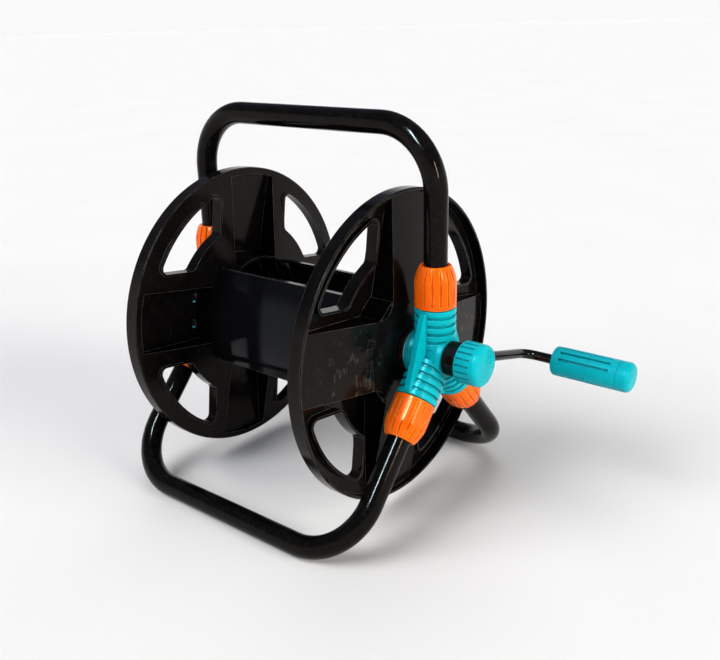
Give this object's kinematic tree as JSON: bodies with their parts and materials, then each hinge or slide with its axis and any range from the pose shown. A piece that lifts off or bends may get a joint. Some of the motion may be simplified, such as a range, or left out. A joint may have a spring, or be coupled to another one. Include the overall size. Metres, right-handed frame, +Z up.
{
  "type": "garden hose reel",
  "caption": "Portable hose reel: tube frame with carrying bar and splayed feet, hand-cranked reel with windowed flanges, clamp cap crank, water inlet and outlet fittings.",
  "frame": {"origin": "on the ground, under the middle of the reel's axle", "axes": "+X along the axle towards the crank, +Y from the front foot to the rear foot, +Z up"},
  "size_m": [0.5034, 0.306, 0.3898],
  "materials": {
    "black_gloss_paint": "gloss",
    "black_rod_paint": "gloss",
    "teal_plastic": "satin moulded",
    "orange_plastic": "satin moulded",
    "white_nylon": "matte",
    "bright_steel": "brushed",
    "seal_rubber": "matte",
    "black_fitting_plastic": "satin",
    "black_reel_plastic": "gloss"
  },
  "bodies": {
    "frame": {"handle_tube": "black_gloss_paint", "front_foot_tube": "black_gloss_paint", "rear_foot_tube": "black_gloss_paint", "near_hub": "teal_plastic", "near_bush": "white_nylon", "near_thrust_washer": "white_nylon", "collar_near_handle": "orange_plastic", "grip_ring_near_handle": "white_nylon", "collar_near_front": "orange_plastic", "grip_ring_near_front": "white_nylon", "collar_near_rear": "orange_plastic", "grip_ring_near_rear": "white_nylon", "far_hub": "teal_plastic", "far_bush": "white_nylon", "far_thrust_washer": "white_nylon", "collar_far_handle": "orange_plastic", "grip_ring_far_handle": "white_nylon", "collar_far_front": "orange_plastic", "grip_ring_far_front": "white_nylon", "collar_far_rear": "orange_plastic", "grip_ring_far_rear": "white_nylon", "inlet_nut": "teal_plastic"},
    "reel": {"near_flange": "black_reel_plastic", "far_flange": "black_reel_plastic", "near_drive_pin": "bright_steel", "far_drive_pin": "bright_steel", "front_drum_panel": "black_reel_plastic", "rear_drum_panel": "black_reel_plastic", "water_axle": "black_fitting_plastic", "outlet_nipple": "black_fitting_plastic", "outlet_washer": "seal_rubber", "crank_neck": "black_fitting_plastic"},
    "inlet": {"inlet_elbow": "black_fitting_plastic", "inlet_o_rings": "seal_rubber"},
    "crank": {"crank_rod": "black_rod_paint", "rod_clip": "bright_steel"},
    "grip": {"crank_grip": "teal_plastic", "grip_end_cap": "teal_plastic"},
    "clamp_pad": {"clamp_pad": "white_nylon"},
    "clamp_cap": {"clamp_cap": "teal_plastic"}
  },
  "joints": [
    {"name": "reel_spin", "type": "hinge", "parent": "frame", "child": "reel", "pos_m": [0, 0, 0.1678], "axis": [1, 0, 0], "continuous": true},
    {"name": "crank_slide", "type": "slide", "parent": "reel", "child": "crank", "axis": [0, 0.9636, -0.2672], "range_m": [-0.045, 0]},
    {"name": "grip_spin", "type": "hinge", "parent": "crank", "child": "grip", "pos_m": [0.24, 0.13298, 0.13093], "axis": [1, 0, 0], "continuous": true},
    {"name": "cap_travel", "type": "slide", "parent": "reel", "child": "clamp_pad", "axis": [1, 0, 0], "range_m": [0, 0.0046]},
    {"name": "cap_turn", "type": "hinge", "parent": "clamp_pad", "child": "clamp_cap", "pos_m": [0.19, 0, 0.1678], "axis": [1, 0, 0], "range_deg": [0, 540]},
    {"name": "inlet_swivel", "type": "hinge", "parent": "frame", "child": "inlet", "pos_m": [-0.18, 0, 0.1678], "axis": [1, 0, 0], "continuous": true}
  ],
  "couplings": [
    {"joint": "cap_travel", "follows": "cap_turn", "m_per_rad": 0.00047746}
  ]
}
